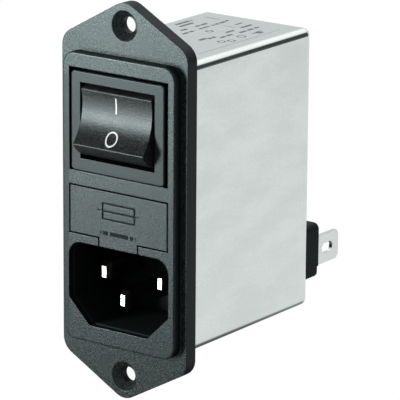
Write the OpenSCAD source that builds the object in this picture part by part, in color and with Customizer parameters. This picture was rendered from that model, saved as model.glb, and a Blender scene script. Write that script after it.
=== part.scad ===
// Power entry module with line filter: inlet, fuse drawer, rocker switch and
// filter can on one screw-on front.  Millimetres, +Z up, X to the right seen
// from the front, +Y into the equipment.  Origin: middle of the face of the
// front plate that seats on the panel.

/* [Front plate] */
// Width of the faces cut in the front: inlet mouth, drawer and switch share it
face_w = 24.9; // [24:0.1:32]
// Plastic and sheet left beside the inlet mouth, each side
side_wall = 1.05; // [0.8:0.05:2]
// Overhang of the front plate past the can, each side
flange_lip = 2; // [1.5:0.05:5]
// Thickness of the front plate
flange_t = 3; // [2:0.1:4]
// Height of the raised bezel on the plate
bezel_t = 2; // [1:0.1:3]
// Corner radius of the bezel
bezel_r = 3; // [1:0.1:5]
// Radius of the moulded front edge of the bezel
soft_edge = 0.4; // [0.2:0.05:0.8]
// Distance from the body to the screw centre, top and bottom
screw_reach = 6.4; // [5.5:0.05:10]
// Clearance hole for the fixing screw
screw_d = 3.3; // [2.5:0.1:4]
// Countersink diameter
csk_d = 6.2; // [5:0.1:8]

/* [Stack of faces, bottom to top] */
// Body below the inlet mouth
foot_h = 3.43; // [2:0.01:5]
// Height of the inlet mouth
inlet_h = 17; // [16.8:0.1:21]
// Bridge between inlet mouth and drawer
bridge_low = 1.67; // [1.2:0.01:4]
// Height of the drawer recess
drawer_h = 10.2; // [9.8:0.1:13]
// Bridge between drawer and switch
bridge_high = 2.9; // [2:0.1:5]
// Body above the switch recess
head_h = 2.95; // [2.5:0.05:5]

/* [Inlet] */
// Depth of the inlet cavity from the bezel face
inlet_depth = 16.5; // [15:0.1:18]
// Spacing of the line and neutral pins
pin_pitch = 14; // [14:0.1:14]
// Drop of the earth pin below the other two
earth_drop = 4; // [4:0.1:4]
// Distance of the line and neutral tips behind the bezel face
pin_tip = 4.45; // [3:0.05:6]
// Lead of the earth tip ahead of the other two
earth_lead_tip = 2.95; // [1:0.05:4]

/* [Switch] */
// Stand-out of the switch frame from the bezel
frame_proud = 0.3; // [0:0.05:1]
// Switch frame left beside the rocker well, each side
frame_side = 2.35; // [1.5:0.05:4]
// Switch frame left above and below the rocker well
frame_end = 2.45; // [1.5:0.05:4]
// Radius of the front edge of the switch frame
frame_edge = 0.3; // [0.15:0.05:0.6]
// Radius of the rocker ends about the pivot
rocker_r = 7.5; // [6:0.1:9]
// Radius of the two ridges where the hollow face meets the rocker ends
rocker_ridge = 0.3; // [0.15:0.05:0.6]
// Radius of the hollow in the rocker face
rocker_hollow = 11.5; // [9:0.1:16]
// Depth of that hollow face ahead of the pivot
rocker_face = 3.6; // [3:0.1:5]
// Depth of the pivot behind the frame face
pivot_depth = 3.1; // [2:0.1:5]
// Lean of the rocker to each side of the middle, degrees
rocker_lean = 14.45; // [8:0.05:18]
// Lean of the contact levers to each side of the middle, degrees
lever_lean = 12; // [8:0.5:14]
// Sideways place of the two poles
pole_x = 4.4; // [3.8:0.1:5.5]

/* [Fuses] */
// Fuse length
fuse_l = 20; // [20:0.1:25]
// Fuse cap diameter
fuse_d = 5.2; // [5:0.1:6.3]
// Sideways place of the two fuses
fuse_x = 5.5; // [4:0.1:7]

/* [Filter can] */
// Depth of the can behind the fuse bay, room for the filter
filter_room = 20.35; // [20.35:0.05:40]
// Depth the rim of the can is let into the plate
rim_set = 0.4; // [0.2:0.05:1]
// Sheet thickness
sheet_t = 0.4; // [0.3:0.05:0.8]
// Outside radius of the drawn edges
can_r = 1.6; // [1:0.1:3]

/* [Rear tabs] */
// Width of the quick-connect tabs
tab_w = 6.3; // [4.8:0.1:6.3]
// Thickness of the tabs
tab_t = 0.8; // [0.5:0.1:1]
// Free length of the tabs behind the block
tab_l = 8.35; // [6:0.05:10]
// Depth of the insulating block
block_d = 5.15; // [3:0.05:8]

/* [Clearances] */
// Joint gap round the drawer front
drawer_gap = 0.25; // [0.15:0.05:0.5]
// Sliding clearance of the drawer tray in its bay
slide_gap = 0.3; // [0.2:0.05:0.6]
// Radial running clearance of the rocker pivots
pivot_gap = 0.05; // [0.02:0.01:0.1]
// Gap between the rocker ends and the well
rocker_gap = 0.25; // [0.15:0.05:0.5]
// Gap between the rocker sides and the well
rocker_side_gap = 0.55; // [0.3:0.05:0.8]
// Gap of a contact strip over the cap it serves
contact_gap = 0.25; // [0.1:0.05:0.4]
// Gap round parts set in slots
slot_gap = 0.05; // [0.02:0.01:0.15]

/* [Hidden] */
$fn = 64;

// switch stack: well, frame and recess follow the rocker
well_h = 2 * (rocker_r + rocker_gap);
frame_h = well_h + 2 * frame_end;
switch_h = frame_h + 0.65;

// body and front
body_h = foot_h + inlet_h + bridge_low + drawer_h + bridge_high + switch_h + head_h;
can_w = face_w + 2 * side_wall;
flange_w = can_w + 2 * flange_lip;
hole_z = body_h / 2 + screw_reach;
bezel_w = can_w + 0.9;
bezel_h = body_h + 0.3;
front_y = -flange_t - bezel_t;
skin = slot_gap;
plug_w = can_w - 2 * sheet_t - 2 * skin;
plug_h = body_h - 2 * sheet_t - 2 * skin;
plug_d = 4;

// levels of the stack
mouth_z0 = -body_h / 2 + foot_h;
mouth_z1 = mouth_z0 + inlet_h;
drawer_z0 = mouth_z1 + bridge_low;
drawer_z1 = drawer_z0 + drawer_h;
recess_z0 = drawer_z1 + bridge_high;
recess_z1 = recess_z0 + switch_h;
switch_z = (recess_z0 + recess_z1) / 2;

// inlet
mouth_lip = 0.25;
mouth_depth = 1.4;
cavity_w = face_w - 2 * mouth_lip;
cavity_h = inlet_h - 2 * mouth_lip;
cavity_z = (mouth_z0 + mouth_z1) / 2;
cavity_back = front_y + inlet_depth;
pot_back = cavity_back + 2;
pin_row = cavity_z + earth_drop / 2 - 0.25;
pin_w = 2;
pin_h = 4;
pin_tail_h = 2.4;

// drawer and fuse bay
ledge = 0.75;
bay_w = face_w - 2.3;
bay_z0 = drawer_z0 + ledge;
bay_z1 = drawer_z1 - ledge;
plate_w = face_w - 0.3 - 2 * drawer_gap;
finger_w = 10;
fuse_front = -flange_t + 0.35;
fuse_back = fuse_front + fuse_l;
cap_l = 4.8;
tray_back = fuse_back + 2.2;
bay_back = tray_back + 1;
bay_wall = 1.5;
fuse_z = (bay_z0 + bay_z1) / 2;
strip_t = 0.4;
strip_w = 3.6;
strip_z = fuse_z + fuse_d / 2 + contact_gap;
strap_y = bay_back + bay_wall + skin;

// switch
recess_w = face_w - 0.5;
recess_d = 3;
shelf_y = front_y + recess_d;
frame_y = front_y - frame_proud;
frame_w = recess_w - 1.3;
frame_z = switch_z - 0.2;
well_w = frame_w - 2 * frame_side;
rocker_w = well_w - 2 * rocker_side_gap;
box_w = well_w + 3.2;
box_h = well_h + 3.3;
pivot_y = frame_y + pivot_depth;
pivot_d = 2.4;
pivot_l = 1.4;
plunger_reach = 10;
plunger_d = 2.2;
tube_end = 5;
lever_t = 0.5;
lever_arm = 6;
lever_w = 4.4;
lever_y = pivot_y + plunger_reach + 0.2 + lever_t / cos(lever_lean);
rivet_r = 1.2;
rivet_t = 0.5;
rivet_arm = 4.9;
pad_y = lever_y + rivet_t + 0.09 + rivet_t;
term_t = 0.8;
term_w = 4.8;
floor_y = pad_y + 4.9;
box_back = floor_y + 2;
term_back = strap_y + 0.5;
fixed_z = switch_z - well_h / 2 + 0.7;

// filter end
can_depth = strap_y + filter_room;
board_t = 1.6;
board_back = can_depth - 5;
board_y = board_back - board_t;
board_w = can_w - 2 * sheet_t - 0.7;
board_h = body_h - 2 * sheet_t - 1.1;
lead_end = board_back + 0.9;
earth_z = pin_row - earth_drop;
tab_z = earth_z + 0.13;
tab_x = can_w / 2 - 2.5;
tail_w = 2.4;
block_z0 = tab_z - 5.45;
block_z1 = tab_z + 6.3;
block_w = can_w - 2.8;
pad_z0 = tab_z - tab_w / 2;
pad_t = 0.45;
block_back = can_depth + block_d;
tab_end = block_back + pad_t + tab_l;
spigot_w = 2.2;
spigot_h = 3.8;

// choke
core_r = 8;
core_hole = 4.2;
core_h = 6.4;
turn_t = 0.75;
turns = 9;
turn_step = 14;
base_t = 0.6;
choke_y = board_y - base_t - core_h / 2 - turn_t - 0.1;
choke_z = -body_h / 2 + 34.9;

// colours
c_black = [0.10, 0.11, 0.11];
c_rocker = [0.07, 0.07, 0.07];
c_tin = [0.78, 0.80, 0.78];
c_can = [0.80, 0.82, 0.82];
c_brass = [0.80, 0.66, 0.36];
c_silver = [0.86, 0.86, 0.84];
c_copper = [0.72, 0.42, 0.22];
c_glass = [0.80, 0.88, 0.88, 0.5];
c_board = [0.16, 0.36, 0.22];
c_ferrite = [0.22, 0.24, 0.25];
c_yellow = [0.85, 0.72, 0.28];
c_blue = [0.22, 0.38, 0.62];
c_cream = [0.86, 0.80, 0.66];
c_red = [0.70, 0.16, 0.12];

// ---- helpers ----

function unit(v) = v / norm(v);

// Convex polygon with each corner rounded by its own radius
module rounded_poly(pts, radii) {
  n = len(pts);
  turn = [for (i = [0:n - 1])
    let (a = unit(pts[(i + n - 1) % n] - pts[i]),
         b = unit(pts[(i + 1) % n] - pts[i]),
         half = acos(a * b) / 2)
    [a, b, half]];
  polygon([for (i = [0:n - 1]) for (k = [0, 1])
    pts[i] + turn[i][k] * radii[i] / tan(turn[i][2])]);
  for (i = [0:n - 1])
    translate(pts[i] + unit(turn[i][0] + turn[i][1]) * radii[i] / sin(turn[i][2]))
      circle(r = radii[i]);
}

module rounded_rect(w, h, r) {
  x = w / 2;
  z = h / 2;
  rounded_poly([[x, z], [-x, z], [-x, -z], [x, -z]], [r, r, r, r]);
}

// Drawing in X and Z pushed along Y
module along_y(y0, y1) {
  translate([0, y1, 0])
    rotate([90, 0, 0])
      linear_extrude(height = y1 - y0)
        children();
}

// Drawing in Y and Z pushed along X
module along_x(x0, x1) {
  translate([x0, 0, 0])
    rotate([90, 0, 90])
      linear_extrude(height = x1 - x0)
        children();
}

module block(x0, x1, y0, y1, z0, z1) {
  translate([x0, y0, z0])
    cube([x1 - x0, y1 - y0, z1 - z0]);
}

module rod_y(d, y0, y1) {
  translate([0, y0, 0])
    rotate([-90, 0, 0])
      cylinder(d = d, h = y1 - y0);
}

module rod_x(d, x0, x1) {
  translate([x0, 0, 0])
    rotate([0, 90, 0])
      cylinder(d = d, h = x1 - x0);
}

// Section of a plate edge: r wide, t thick, outer front corner rounded
module edge_section(r, t, edge) {
  polygon([[0, 0], [r, 0], [r, t - edge], [r - edge, t - edge], [r - edge, t], [0, t]]);
  intersection() {
    translate([r - edge, t - edge])
      circle(r = edge);
    translate([r - edge, t - edge])
      square([edge, edge]);
  }
}

// Rounded rectangle from y0 to y1 with its front edge rounded by edge: a flat
// core, a turned corner at each hub and a strip pushed along each side
module soft_rect(w, h, r, y0, y1, edge) {
  x = w / 2 - r;
  z = h / 2 - r;
  t = y1 - y0;
  hub = [[x, z], [-x, z], [-x, -z], [x, -z]];
  translate([0, y1, 0])
    rotate([90, 0, 0]) {
      linear_extrude(height = t) {
        square([w - 2 * edge, 2 * z], center = true);
        square([2 * x, h - 2 * edge], center = true);
      }
      for (q = [0:3]) {
        half = q % 2 == 0 ? z : x;
        reach = (q % 2 == 0 ? w : h) / 2 - edge;
        translate(hub[q])
          rotate([0, 0, 90 * q])
            rotate_extrude(angle = 90)
              edge_section(r, t, edge);
        rotate([0, 0, 90 * q])
          translate([reach, half, 0])
            rotate([90, 0, 0])
              linear_extrude(height = 2 * half)
                edge_section(edge, t, edge);
      }
    }
}

// Both poles: the child is drawn for +X and mirrored to -X
module both_sides() {
  children();
  mirror([1, 0, 0])
    children();
}

// ---- front housing ----

module ear_outline() {
  w = flange_w / 2;
  slope = tan(29.3);
  shoulder = body_h / 2 + 2.85;
  tip = shoulder + w * slope;
  rounded_poly([[w, shoulder], [0, tip], [-w, shoulder],
    [-w, -shoulder], [0, -tip], [w, -shoulder]], [3.7, 4, 3.7, 3.7, 4, 3.7]);
}

// Inlet opening: rounded above, cut off at 45 degrees below
module inlet_shape(w, h, cut) {
  x = w / 2;
  z = h / 2;
  rounded_poly([[x, z], [-x, z], [-x, -z + cut], [-x + cut, -z],
    [x - cut, -z], [x, -z + cut]], [3, 3, 0.7, 0.7, 0.7, 0.7]);
}

module screw_hole() {
  sink = (csk_d - screw_d) / 2;
  rod_y(screw_d, -flange_t - 1, 1);
  translate([0, -flange_t, 0])
    rotate([-90, 0, 0])
      cylinder(d1 = csk_d, d2 = screw_d, h = sink);
  rod_y(csk_d, -flange_t - 1, -flange_t);
}

module drawer_opening() {
  w = plate_w / 2 + drawer_gap;
  block(-w, w, front_y - 1, -flange_t, drawer_z0, drawer_z1);
  block(-finger_w / 2, finger_w / 2, front_y - 1, -flange_t, mouth_z1 - 0.5, drawer_z0 + 0.1);
  block(-bay_w / 2, bay_w / 2, -flange_t - 1, bay_back, bay_z0, bay_z1);
}

module pin_slots() {
  for (x = [-1, 1])
    block(x * pin_pitch / 2 - pin_w / 2 - skin, x * pin_pitch / 2 + pin_w / 2 + skin,
      cavity_back - 1, pot_back + 1,
      pin_row - pin_tail_h / 2 - skin, pin_row + pin_tail_h / 2 + skin);
  block(-pin_w / 2 - skin, pin_w / 2 + skin, cavity_back - 1, pot_back + 1,
    earth_z - pin_tail_h / 2 - skin, earth_z + pin_tail_h / 2 + skin);
}

module clip_slots() {
  for (s = [-1, 1]) {
    x0 = s * (fuse_x - 0.4) - strip_w / 2 - skin;
    block(x0, x0 + strip_w + 2 * skin, plug_d + 0.4 - skin, plug_d + 0.4 + strip_t + skin,
      bay_z1 - 1, bay_z1 + bay_wall + 1);
    block(x0, x0 + strip_w + 2 * skin, bay_back - 1, bay_back + bay_wall + 1,
      strip_z - skin, strip_z + strip_t + skin);
  }
}

module front_housing() {
  pot_z0 = mouth_z0 - 1.2;
  post_w = 2.2;
  throat_w = box_w + 2 * slide_gap;
  throat_h = box_h + 2 * slide_gap;
  color(c_black)
    difference() {
      union() {
        difference() {
          along_y(-flange_t, 0)
            ear_outline();
          // groove for the rim of the can
          along_y(-rim_set, 1)
            rounded_rect(can_w + 2 * skin, body_h + 2 * skin, can_r + skin);
        }
        soft_rect(bezel_w, bezel_h, bezel_r, front_y, -flange_t, soft_edge);
        along_y(-rim_set - 0.01, plug_d)
          rounded_rect(plug_w, plug_h, can_r - sheet_t);
        block(-plug_w / 2, plug_w / 2, 0, pot_back, pot_z0, bay_z0);
        block(-plug_w / 2, plug_w / 2, 0, bay_back + bay_wall, bay_z0 - bay_wall, bay_z1 + bay_wall);
        for (x = [-1, 1])
          for (z = [-1, 1])
            translate([x * (plug_w / 2 - 0.45 - post_w / 2), 0, z * (plug_h / 2 - 0.5 - post_w / 2)])
              block(-post_w / 2, post_w / 2, 0, board_y, -post_w / 2, post_w / 2);
      }
      for (z = [-1, 1])
        translate([0, 0, z * hole_z])
          screw_hole();
      // switch recess and throat
      translate([0, 0, switch_z]) {
        block(-recess_w / 2, recess_w / 2, front_y - 1, shelf_y, -switch_h / 2, switch_h / 2);
        block(-throat_w / 2, throat_w / 2, shelf_y - 1, plug_d + 1, -throat_h / 2, throat_h / 2);
      }
      drawer_opening();
      // inlet mouth and cavity
      translate([0, 0, cavity_z]) {
        along_y(front_y - 1, front_y + mouth_depth)
          inlet_shape(face_w, inlet_h, 5.2);
        along_y(front_y, cavity_back)
          inlet_shape(cavity_w, cavity_h, 5);
      }
      pin_slots();
      clip_slots();
    }
}

// ---- inlet pins ----

// Blade with a four-sided bevelled tip; the tail behind the floor is lower
module inlet_pin(tip_y) {
  bev = 1.2;
  x = pin_w / 2;
  z = pin_h / 2;
  tail = pin_tail_h / 2;
  intersection() {
    along_x(-x, x)
      polygon([[tip_y, 1.15], [tip_y, -1.15], [tip_y + bev, -z], [cavity_back, -z],
        [cavity_back, -tail], [strap_y - skin, -tail], [strap_y - skin, tail],
        [cavity_back, tail], [cavity_back, z], [tip_y + bev, z]]);
    translate([0, 0, -z])
      linear_extrude(height = pin_h)
        polygon([[-0.5, tip_y], [0.5, tip_y], [x, tip_y + bev], [x, strap_y],
          [-x, strap_y], [-x, tip_y + bev]]);
  }
}

module line_pin() {
  color(c_tin)
    translate([-pin_pitch / 2, 0, pin_row])
      inlet_pin(front_y + pin_tip);
}

module neutral_pin() {
  color(c_tin)
    translate([pin_pitch / 2, 0, pin_row])
      inlet_pin(front_y + pin_tip);
}

module earth_pin() {
  color(c_tin)
    translate([0, 0, earth_z])
      inlet_pin(front_y + pin_tip - earth_lead_tip);
}

// ---- switch ----

module snap_wedge() {
  along_x(-3, 3)
    polygon([[plug_d + 0.1, box_h / 2 - 0.1], [plug_d + 0.1, box_h / 2 + 0.8],
      [plug_d + 0.6, box_h / 2 + 0.8], [plug_d + 3.5, box_h / 2 - 0.1]]);
}

module switch_body() {
  color(c_black)
    translate([0, 0, switch_z])
      difference() {
        union() {
          translate([0, 0, frame_z - switch_z])
            soft_rect(frame_w, frame_h, 0.9, frame_y, shelf_y, frame_edge);
          block(-box_w / 2, box_w / 2, shelf_y - 0.5, box_back, -box_h / 2, box_h / 2);
          snap_wedge();
          mirror([0, 0, 1])
            snap_wedge();
        }
        difference() {
          block(-well_w / 2, well_w / 2, frame_y - 1, floor_y, -well_h / 2, well_h / 2);
          block(-0.6, 0.6, pivot_y + plunger_reach - 1.5, floor_y + 1, -box_h / 2, box_h / 2);
        }
        // pivot sockets, then the slots for the four terminals
        translate([0, pivot_y, 0])
          rod_x(pivot_d + 2 * pivot_gap, -well_w / 2 - 1, well_w / 2 + 1);
        for (x = [-1, 1])
          translate([x * pole_x, 0, 0]) {
            block(-term_w / 2 - skin, term_w / 2 + skin, floor_y - 1, box_back + 1,
              -term_t / 2 - skin, term_t / 2 + skin);
            block(-term_w / 2 - skin, term_w / 2 + skin, floor_y - 1, box_back + 1,
              fixed_z - switch_z - skin, fixed_z - switch_z + term_t + skin);
          }
      }
}

// The moving parts below are drawn about the pivot, standing level
module on_rocker_pivot() {
  translate([0, pivot_y, switch_z])
    rotate([-rocker_lean, 0, 0])
      children();
}

// Round end about the pivot with the hollow face cut into it; wall insets
// both.  Each ridge is a small circle that touches the two arcs.
module rocker_section(wall, ridge) {
  far = rocker_hollow + rocker_face;
  end_r = rocker_r - wall;
  dish_r = rocker_hollow + wall;
  in = end_r - ridge;
  out = dish_r + ridge;
  rx = (out * out - in * in - far * far) / (2 * far);
  rz = sqrt(in * in - rx * rx);
  hub = [rx, rz];
  touch_end = hub * end_r / in;
  touch_dish = [-far, 0] + (hub + [far, 0]) * dish_r / out;
  away = touch_end + touch_dish - 2 * hub;
  difference() {
    circle(r = end_r);
    translate([-far, 0])
      circle(r = dish_r);
    for (s = [-1, 1])
      scale_z(s)
        polygon([touch_end, touch_dish, touch_dish + 3 * away, touch_end + 3 * away]);
  }
  for (s = [-1, 1])
    scale_z(s)
      translate(hub)
        circle(r = ridge, $fn = 32);
}

// Flips a flat drawing about its first axis when s is -1
module scale_z(s) {
  mirror([0, s < 0 ? 1 : 0])
    children();
}

module rocker() {
  wall = 1.2;
  side = rocker_w / 2;
  tube_top = -rocker_face + wall - 0.1;
  color(c_rocker)
    on_rocker_pivot()
      difference() {
        union() {
          difference() {
            along_x(-side, side)
              rocker_section(0, rocker_ridge);
            along_x(-side + wall, side - wall)
              rocker_section(wall, 0.1);
          }
          rod_x(pivot_d, side - 0.5, side + pivot_l);
          rod_x(pivot_d, -side - pivot_l, -side + 0.5);
          for (x = [-1, 1])
            translate([x * pole_x, 0, 0])
              rod_y(plunger_d + 2, tube_top, tube_end);
        }
        // open back, cleared above the levers
        difference() {
          block(-20, 20, 1, 20, -20, 20);
          for (x = [-1, 1])
            translate([x * pole_x, 0, 0])
              rod_y(plunger_d + 2, 0, tube_end);
        }
        for (x = [-1, 1])
          translate([x * pole_x, 0, 0])
            rod_y(plunger_d + 2 * pivot_gap, tube_top + 0.4, tube_end + 1);
      }
}

module plungers() {
  nose = plunger_d / 2;
  color(c_brass)
    on_rocker_pivot()
      for (x = [-1, 1])
        translate([x * pole_x, 0, 0]) {
          rod_y(plunger_d, 2.2, plunger_reach - nose);
          translate([0, plunger_reach - nose, 0])
            sphere(d = plunger_d);
        }
}

// Half turns of wire, one level and one climbing, laid end to end
module half_turn(mean_r, wire) {
  rotate_extrude(angle = 180)
    translate([mean_r, 0])
      circle(d = wire, $fn = 40);
}

module coil(mean_r, wire, pitch, count) {
  climb = atan(pitch / (2 * mean_r));
  for (i = [0:count])
    translate([0, 0, i * pitch]) {
      half_turn(mean_r, wire);
      if (i < count)
        translate([0, 0, pitch / 2])
          rotate([0, -climb, 0])
            rotate([0, 0, 180])
              half_turn(mean_r / cos(climb), wire);
    }
}

module plunger_springs() {
  wire = 0.3;
  start = -rocker_face + 1.7;
  count = 5;
  color(c_silver)
    on_rocker_pivot()
      for (x = [-1, 1])
        translate([x * pole_x, start + wire / 2, 0])
          rotate([-90, 0, 0])
            coil(plunger_d / 2 - wire / 2 - 0.05, wire, (2.2 - start - wire - 0.1) / count, count);
}

module on_lever_pivot() {
  translate([0, lever_y, switch_z])
    rotate([lever_lean, 0, 0])
      children();
}

module contact_lever() {
  rise = lever_arm * tan(lever_lean);
  t = lever_t / cos(lever_lean);
  color(c_brass)
    on_lever_pivot()
      along_x(-lever_w / 2, lever_w / 2)
        polygon([[0, 0], [-rise, lever_arm], [-rise - t, lever_arm], [-t, 0],
          [-rise - t, -lever_arm], [-rise, -lever_arm]]);
}

module lever_rivet() {
  color(c_silver)
    on_lever_pivot()
      rotate([-lever_lean, 0, 0])
        translate([0, 0, -rivet_arm])
          rod_y(2 * rivet_r, 0, rivet_t);
}

module lever_line() {
  translate([-pole_x, 0, 0])
    contact_lever();
}

module lever_neutral() {
  translate([pole_x, 0, 0])
    contact_lever();
}

module lever_rivet_line() {
  translate([-pole_x, 0, 0])
    lever_rivet();
}

module lever_rivet_neutral() {
  translate([pole_x, 0, 0])
    lever_rivet();
}

module fixed_rivets() {
  color(c_silver)
    for (x = [-1, 1])
      translate([x * pole_x, 0, switch_z - rivet_arm])
        rod_y(2 * rivet_r, pad_y - rivet_t, pad_y);
}

module fixed_terminals() {
  top = switch_z - rivet_arm + rivet_r + 0.4;
  color(c_tin)
    for (x = [-1, 1])
      translate([x * pole_x, 0, 0])
        along_x(-term_w / 2, term_w / 2)
          polygon([[pad_y, fixed_z], [term_back, fixed_z], [term_back, fixed_z + term_t],
            [pad_y + 0.6, fixed_z + term_t], [pad_y + 0.6, top], [pad_y, top]]);
}

module common_terminals() {
  t = term_t / 2;
  edge = lever_y + 0.09;
  color(c_tin)
    for (x = [-1, 1])
      translate([x * pole_x, 0, switch_z])
        along_x(-term_w / 2, term_w / 2)
          polygon([[edge, 0], [edge + 0.6, t], [term_back, t], [term_back, -t],
            [edge + 0.6, -t]]);
}

// ---- fuse drawer and fuses ----

// Outline of the fuse symbol: a box with a line through it, ends standing out
module fuse_symbol() {
  line = 0.3;
  w = 8.2;
  h = 3.5;
  difference() {
    square([w, h], center = true);
    square([w - 2 * line, h - 2 * line], center = true);
  }
  square([w + 2.2, line], center = true);
}

module fuse_drawer() {
  w = plate_w / 2;
  back = -flange_t - skin;
  tray_w = bay_w - 2 * slide_gap;
  floor_z = bay_z0 + slide_gap;
  floor_top = fuse_z - fuse_d / 2 - 0.3;
  wall_top = fuse_z + 1.6;
  color(c_black)
    difference() {
      union() {
        block(-w, w, front_y, back, drawer_z0 + drawer_gap, drawer_z1 - drawer_gap);
        block(-finger_w / 2 + drawer_gap, finger_w / 2 - drawer_gap, front_y, back,
          mouth_z1, drawer_z0 + 1);
        block(-tray_w / 2, tray_w / 2, back - 0.5, tray_back, floor_z, floor_top);
        for (x = [-tray_w / 2, -0.9, tray_w / 2 - 1.8])
          block(x, x + 1.8, back - 0.5, tray_back, floor_z, wall_top);
        // saddles under the glass and the stop behind the rear cap
        for (y = [fuse_front + cap_l + 1, fuse_back - cap_l - 2.5])
          block(-tray_w / 2, tray_w / 2, y, y + 1.5, floor_z, fuse_z - 0.6);
        block(-tray_w / 2, tray_w / 2, fuse_back + 0.3, tray_back, floor_z, fuse_z - 0.6);
      }
      for (x = [-1, 1])
        translate([x * fuse_x, 0, fuse_z])
          rod_y(fuse_d + 2 * 0.1, back, fuse_back + 0.2);
      // symbol cut into the drawer front
      translate([0.1, 0, fuse_z + 0.75])
        along_y(front_y - 1, front_y + 0.15)
          fuse_symbol();
    }
}

module at_each_fuse() {
  for (x = [-1, 1])
    translate([x * fuse_x, 0, fuse_z])
      children();
}

module fuse_glass() {
  glass = fuse_d - 0.4;
  color(c_glass)
    at_each_fuse()
      difference() {
        rod_y(glass, fuse_front + 0.5, fuse_back - 0.5);
        rod_y(glass - 1, fuse_front, fuse_back);
      }
}

module fuse_caps() {
  bore = fuse_d - 0.4 + 2 * 0.02;
  color(c_silver)
    at_each_fuse()
      difference() {
        rod_y(fuse_d, fuse_front, fuse_back);
        rod_y(fuse_d + 1, fuse_front + cap_l, fuse_back - cap_l);
        rod_y(bore, fuse_front + 0.45, fuse_back - 0.45);
      }
}

module fuse_elements() {
  color(c_silver)
    at_each_fuse()
      rod_y(0.3, fuse_front + 0.45, fuse_back - 0.45);
}

// Strips that carry the current past the fuse: rear cap to inlet pin
module supply_clips() {
  z1 = strip_z + strip_t;
  y1 = strap_y + strip_t;
  foot = pin_row - pin_tail_h / 2;
  color(c_brass)
    for (s = [-1, 1])
      translate([s * (fuse_x - 0.4), 0, 0]) {
        along_x(-strip_w / 2, strip_w / 2)
          polygon([[fuse_back - cap_l + 0.9, strip_z], [strap_y, strip_z],
            [strap_y, foot], [y1, foot], [y1, z1], [fuse_back - cap_l + 0.9, z1]]);
        // foot reaching across to the pin
        block(s > 0 ? 0 : -3, s > 0 ? 3 : 0, strap_y, y1, foot, foot + pin_tail_h);
      }
}

// Front cap to the fixed terminal of the switch
module load_clips() {
  z1 = strip_z + strip_t;
  riser = plug_d + 0.4;
  run_z = bay_z1 + bay_wall + skin;
  end_y = term_back + skin;
  color(c_brass)
    for (s = [-1, 1])
      translate([s * (fuse_x - 0.4), 0, 0])
        along_x(-strip_w / 2, strip_w / 2)
          polygon([[fuse_front + 1, strip_z], [riser + strip_t, strip_z],
            [riser + strip_t, run_z], [end_y + strip_t, run_z],
            [end_y + strip_t, fixed_z + term_t], [end_y, fixed_z + term_t],
            [end_y, run_z + strip_t], [riser, run_z + strip_t], [riser, z1],
            [fuse_front + 1, z1]]);
}

// ---- filter can ----

// Box from y0 to d, open at the front, with every rear edge and corner
// rounded by r
module drawn_box(w, h, y0, d, r) {
  x = w / 2 - r;
  z = h / 2 - r;
  along_y(y0, d - r)
    rounded_rect(w, h, r);
  block(-x, x, d - r - 0.01, d, -z, z);
  for (s = [-1, 1]) {
    translate([0, d - r, s * z])
      rod_x(2 * r, -x, x);
    translate([s * x, d - r, -z])
      cylinder(r = r, h = 2 * z);
    for (t = [-1, 1])
      translate([s * x, d - r, t * z])
        sphere(r = r);
  }
}

module filter_can() {
  color(c_can)
    difference() {
      drawn_box(can_w, body_h, -rim_set, can_depth, can_r);
      drawn_box(can_w - 2 * sheet_t, body_h - 2 * sheet_t, -rim_set - 1, can_depth - sheet_t,
        can_r - sheet_t);
      for (s = [-1, 1])
        translate([s * tab_x, 0, tab_z])
          block(-spigot_w / 2 - skin, spigot_w / 2 + skin, can_depth - 3, can_depth + 1,
            -spigot_h / 2 - skin, spigot_h / 2 + skin);
      block(-tab_t / 2 - 0.1, tab_t / 2 + 0.1, can_depth - 3, can_depth + 1,
        tab_z - tab_w / 2 - 0.1, tab_z + tab_w / 2 + 0.1);
    }
}

// ---- filter ----

// Where leads and tails pass the board: [x, z, hole diameter]
lead_r = 0.35;
y_cap_x = 5.6;
y_cap_lead = 2.5;
y_cap_d = 7.6;
y_cap_y = board_y - 5.2;
x_cap_lead = 7.5;
x_cap_z = choke_z - core_r - turn_t - 5.6;
resistor_z = switch_z + 5.6;
winding_reach = core_r + turn_t + lead_r + 0.1;
lead_spots = concat(
  [for (x = [-1, 1]) for (a = [-1, 1])
    [x * winding_reach * cos(56), choke_z + a * winding_reach * sin(56)]],
  [for (x = [-1, 1]) [x * x_cap_lead, x_cap_z]],
  [for (x = [-1, 1]) for (z = [-1, 1]) [x * y_cap_x, earth_z + z * y_cap_lead]],
  [for (x = [-1, 1]) [x * 5.6, resistor_z]]);

module circuit_board() {
  hole = 2 * lead_r + 0.2;
  color(c_board)
    difference() {
      block(-board_w / 2, board_w / 2, board_y, board_back, -board_h / 2, board_h / 2);
      for (p = lead_spots)
        translate([p[0], 0, p[1]])
          rod_y(hole, board_y - 1, board_back + 1);
      for (x = [-1, 1]) {
        translate([x * pole_x, 0, switch_z])
          rod_y(1.2, board_y - 1, board_back + 1);
        block(x * tab_x - tab_t / 2 - 0.1, x * tab_x + tab_t / 2 + 0.1, board_y - 1,
          board_back + 1, tab_z - tail_w / 2 - 0.1, tab_z + tail_w / 2 + 0.1);
      }
      block(-tab_t / 2 - 0.1, tab_t / 2 + 0.1, board_y - 1, board_back + 1,
        tab_z - tail_w / 2 - 0.1, tab_z + tail_w / 2 + 0.1);
    }
}

module choke_core() {
  color(c_ferrite)
    translate([0, choke_y, choke_z])
      rotate([90, 0, 0])
        rotate_extrude()
          translate([core_hole, -core_h / 2])
            square([core_r - core_hole, core_h]);
}

module choke_base() {
  wall = 0.6;
  color(c_cream) {
    translate([0, 0, choke_z])
      along_y(board_y - base_t, board_y)
        rounded_rect(13, 13, 1);
    block(-wall, wall, choke_y - core_h / 2 - turn_t, board_y - base_t + 0.1,
      choke_z - core_hole + 0.1, choke_z + core_hole - 0.1);
  }
}

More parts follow.
